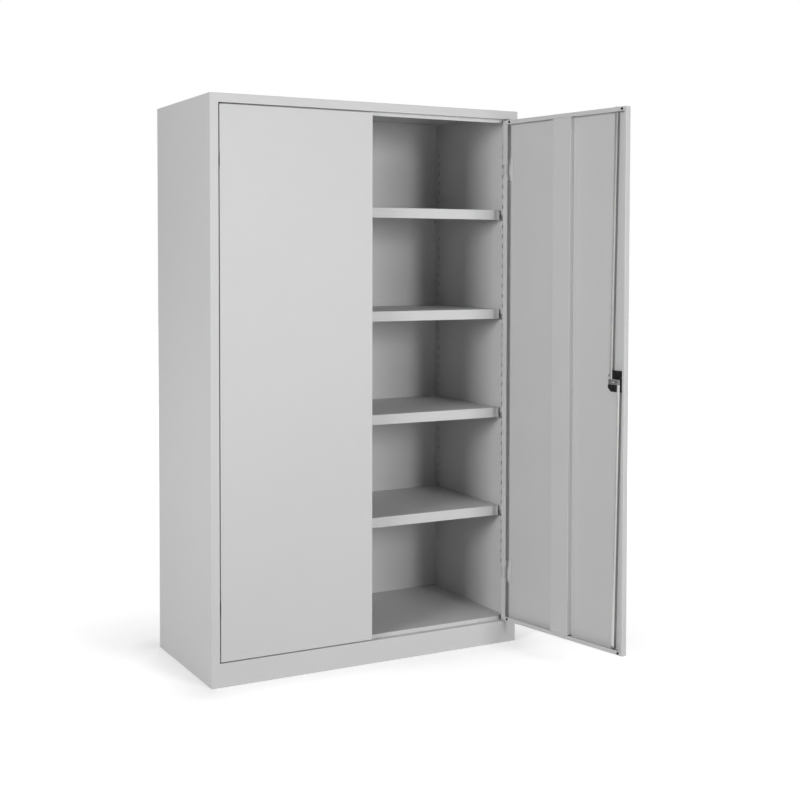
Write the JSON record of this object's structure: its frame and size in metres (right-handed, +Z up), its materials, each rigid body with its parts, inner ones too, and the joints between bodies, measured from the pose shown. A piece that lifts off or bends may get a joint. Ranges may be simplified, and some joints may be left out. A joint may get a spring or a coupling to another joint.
{
  "type": "tool cabinet with doors",
  "caption": "Tall sheet-steel tool cabinet with hinged double doors, adjustable shelves on clips, hidden crank hinges and a knob lock that shoots rods up and down.",
  "frame": {"origin": "on the floor, under the middle of the carcass without its doors", "axes": "+Z up; +Y from the front face to the back; +X to the side of the door that carries the lock"},
  "size_m": [1.2909, 1.0662, 1.95],
  "materials": {
    "paint": "light grey powder coat, fine satin texture",
    "zinc": "bright zinc plate",
    "rubber": "black rubber",
    "black_plastic": "matt black moulded plastic",
    "black_steel": "blackened steel screws",
    "chrome": "polished chrome plate"
  },
  "bodies": {
    "carcass": {"side_left": "paint", "side_right": "paint", "inner_wall_left": "paint", "inner_wall_right": "paint", "back_panel": "paint", "top_panel": "paint", "top_rail": "paint", "floor_panel": "paint", "floor_brace": "paint", "plinth_front": "paint", "shelf_1": "paint", "shelf_2": "paint", "shelf_3": "paint", "shelf_4": "paint", "shelf_clips": "zinc", "hinge_arm_left_upper": "paint", "hinge_arm_left_lower": "paint", "hinge_arm_right_upper": "paint", "hinge_arm_right_lower": "paint"},
    "left_door": {"door_pan_left": "paint", "stiffener_left": "paint", "buffers_left": "rubber", "strike_strip": "paint", "hinge_leaf_left_upper": "paint", "hinge_leaf_left_lower": "paint", "hinge_pins_left": "zinc"},
    "right_door": {"door_pan_right": "paint", "stiffener_right": "paint", "buffers_right": "rubber", "hinge_leaf_right_upper": "paint", "hinge_leaf_right_lower": "paint", "hinge_pins_right": "zinc", "rod_guides": "zinc", "lock_case": "black_plastic", "lock_screws": "black_steel", "rosette": "black_plastic"},
    "knob": {"turn_knob": "black_plastic", "spindle": "zinc", "lock_cam": "zinc", "cam_nut": "chrome"},
    "plug": {"key_plug": "chrome"},
    "upper_rod": {"rod_upper": "zinc"},
    "lower_rod": {"rod_lower": "zinc"}
  },
  "joints": [
    {"name": "left_door_hinge", "type": "hinge", "parent": "carcass", "child": "left_door", "pos_m": [-0.56, -0.255, 1], "axis": [0, 0, -1], "range_deg": [0, 110]},
    {"name": "right_door_hinge", "type": "hinge", "parent": "carcass", "child": "right_door", "pos_m": [0.56, -0.255, 1], "axis": [0, 0, 1], "range_deg": [-101, 9]},
    {"name": "upper_rod_slide", "type": "slide", "parent": "right_door", "child": "upper_rod", "axis": [0, 0, 1], "range_m": [0, 0.0165]},
    {"name": "knob_turn", "type": "hinge", "parent": "right_door", "child": "knob", "pos_m": [0.66232, -0.75517, 1], "axis": [0.9816, 0.1908, 0], "range_deg": [0, 90]},
    {"name": "plug_turn", "type": "hinge", "parent": "knob", "child": "plug", "pos_m": [0.66232, -0.75517, 1], "axis": [0.9816, 0.1908, 0], "range_deg": [-90, 0]},
    {"name": "lower_rod_slide", "type": "slide", "parent": "right_door", "child": "lower_rod", "axis": [0, 0, -1], "range_m": [0, 0.0165]}
  ],
  "couplings": [
    {"joint": "knob_turn", "follows": "upper_rod_slide", "rad_per_m": 95.2},
    {"joint": "lower_rod_slide", "follows": "upper_rod_slide", "ratio": 1}
  ]
}
